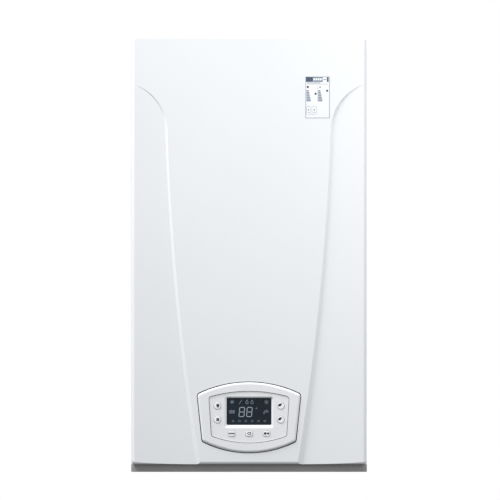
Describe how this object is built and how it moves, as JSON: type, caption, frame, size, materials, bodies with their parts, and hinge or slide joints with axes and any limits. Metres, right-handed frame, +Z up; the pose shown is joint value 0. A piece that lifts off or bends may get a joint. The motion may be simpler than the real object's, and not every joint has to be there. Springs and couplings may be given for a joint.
{
  "type": "wall-hung gas boiler",
  "caption": "Wall-hung gas boiler: white pressed cover with two curved creases, a bezel with display and buttons, sealed fan-flued chamber and pipe connections below",
  "frame": {"origin": "on the wall, midway between the two screw holes of the wall bracket", "axes": "+Z up, +Y into the wall, front of the boiler faces -Y, +X to the viewer's right"},
  "size_m": [0.4, 0.302, 0.74],
  "materials": {
    "cover_paint": "white powder coat, satin, fine texture",
    "galvanised": "galvanised sheet, dull spangle",
    "skirt_paint": "grey powder coat, satin",
    "bezel_plastic": "white moulded plastic, satin gloss",
    "button_plastic": "pale grey moulded plastic",
    "smoked_window": "smoked clear plastic, gloss",
    "box_plastic": "dark grey moulded plastic, matt",
    "board": "green fibre board with parts",
    "zinc": "zinc plated steel",
    "cast_alloy": "die cast aluminium, dull",
    "brass": "machined and cast brass",
    "copper": "copper, dull with heat tint",
    "burner_steel": "stainless sheet, heat tinted",
    "stainless": "stainless plates, brushed",
    "fibre": "pressed ceramic fibre board",
    "ceramic": "white ceramic sleeve",
    "glass": "heat-proof glass",
    "silicone": "translucent silicone tube",
    "tank_paint": "red enamel, semi-gloss",
    "motor_paint": "black enamel, satin",
    "black_plastic": "black moulded plastic",
    "red_plastic": "red moulded plastic",
    "blue_plastic": "blue moulded plastic"
  },
  "bodies": {
    "casing": {"wall_bracket": "zinc", "back_frame": "galvanised", "side_panel_left": "cover_paint", "side_panel_right": "cover_paint", "top_plate": "galvanised", "base_plate": "galvanised", "lower_skirt": "skirt_paint", "screws": "zinc", "flue_collar": "cast_alloy", "fan_housing": "galvanised", "fan_motor": "motor_paint", "flue_hood": "galvanised", "air_pressure_switch": "black_plastic", "pressure_tubes": "silicone", "chamber_box": "galvanised", "chamber_lid": "galvanised", "sight_glass": "glass", "heat_exchanger": "copper", "combustion_box": "burner_steel", "insulation_boards": "fibre", "burner": "burner_steel", "gas_manifold": "zinc", "electrodes": "ceramic", "gas_valve": "cast_alloy", "gas_pipes": "copper", "plate_exchanger": "stainless", "flow_group": "brass", "diverter_motor": "black_plastic", "return_group": "brass", "safety_valve": "brass", "pump_body": "cast_alloy", "pump_motor": "motor_paint", "air_vent": "brass", "flow_pipe": "copper", "return_pipe": "copper", "expansion_tank": "tank_paint", "expansion_pipe": "copper", "hot_water_pipe": "copper", "cold_inlet": "brass", "cable_gland": "black_plastic", "control_brackets": "zinc"},
    "cover": {"front_cover": "cover_paint"},
    "controls": {"control_box": "box_plastic", "bezel": "bezel_plastic", "fascia": "bezel_plastic", "display_window": "smoked_window", "circuit_board": "board", "hinge_pins": "zinc"},
    "fan_wheel": {"fan_impeller": "galvanised"},
    "pump_wheel": {"pump_rotor": "zinc"},
    "diverter": {"diverter_spindle": "zinc"},
    "relief_knob": {"safety_valve_knob": "red_plastic"},
    "filling_handle": {"filling_knob": "blue_plastic"},
    "button_left_upper_cap": {"button_left_upper": "button_plastic"},
    "button_left_lower_cap": {"button_left_lower": "button_plastic"},
    "button_right_upper_cap": {"button_right_upper": "button_plastic"},
    "button_right_lower_cap": {"button_right_lower": "button_plastic"},
    "key_left_cap": {"key_left": "button_plastic"},
    "key_middle_cap": {"key_middle": "button_plastic"},
    "key_right_cap": {"key_right": "button_plastic"}
  },
  "joints": [
    {"name": "cover_slide", "type": "slide", "parent": "casing", "child": "cover", "axis": [0, -1, 0], "range_m": [0, 0.3]},
    {"name": "controls_tilt", "type": "hinge", "parent": "casing", "child": "controls", "pos_m": [0, -0.276, -0.643], "axis": [1, 0, 0], "range_deg": [0, 78]},
    {"name": "fan_spin", "type": "hinge", "parent": "casing", "child": "fan_wheel", "pos_m": [-0.02, -0.16, -0.0223], "axis": [0, 1, 0], "continuous": true},
    {"name": "pump_spin", "type": "hinge", "parent": "casing", "child": "pump_wheel", "pos_m": [0.13, -0.15, -0.503], "axis": [0, 1, 0], "continuous": true},
    {"name": "diverter_slide", "type": "slide", "parent": "casing", "child": "diverter", "axis": [0, 1, 0], "range_m": [0, 0.006]},
    {"name": "relief_turn", "type": "hinge", "parent": "casing", "child": "relief_knob", "pos_m": [0.13, -0.18, -0.605], "axis": [0, -1, 0], "range_deg": [0, 90]},
    {"name": "filling_turn", "type": "hinge", "parent": "casing", "child": "filling_handle", "pos_m": [0.0975, -0.11, -0.659], "axis": [0, 0, -1], "range_deg": [0, 90]},
    {"name": "button_left_upper_press", "type": "slide", "parent": "controls", "child": "button_left_upper_cap", "axis": [0, 1, 0], "range_m": [0, 0.0012], "stiffness_N_per_m": 500, "springref_m": -0.001},
    {"name": "button_left_lower_press", "type": "slide", "parent": "controls", "child": "button_left_lower_cap", "axis": [0, 1, 0], "range_m": [0, 0.0012], "stiffness_N_per_m": 500, "springref_m": -0.001},
    {"name": "button_right_upper_press", "type": "slide", "parent": "controls", "child": "button_right_upper_cap", "axis": [0, 1, 0], "range_m": [0, 0.0012], "stiffness_N_per_m": 500, "springref_m": -0.001},
    {"name": "button_right_lower_press", "type": "slide", "parent": "controls", "child": "button_right_lower_cap", "axis": [0, 1, 0], "range_m": [0, 0.0012], "stiffness_N_per_m": 500, "springref_m": -0.001},
    {"name": "key_left_press", "type": "slide", "parent": "controls", "child": "key_left_cap", "axis": [0, 1, 0], "range_m": [0, 0.0012], "stiffness_N_per_m": 500, "springref_m": -0.001},
    {"name": "key_middle_press", "type": "slide", "parent": "controls", "child": "key_middle_cap", "axis": [0, 1, 0], "range_m": [0, 0.0012], "stiffness_N_per_m": 500, "springref_m": -0.001},
    {"name": "key_right_press", "type": "slide", "parent": "controls", "child": "key_right_cap", "axis": [0, 1, 0], "range_m": [0, 0.0012], "stiffness_N_per_m": 500, "springref_m": -0.001}
  ],
  "couplings": [
    {"joint": "controls_tilt", "follows": "cover_slide", "rad_per_m": 4.53}
  ]
}
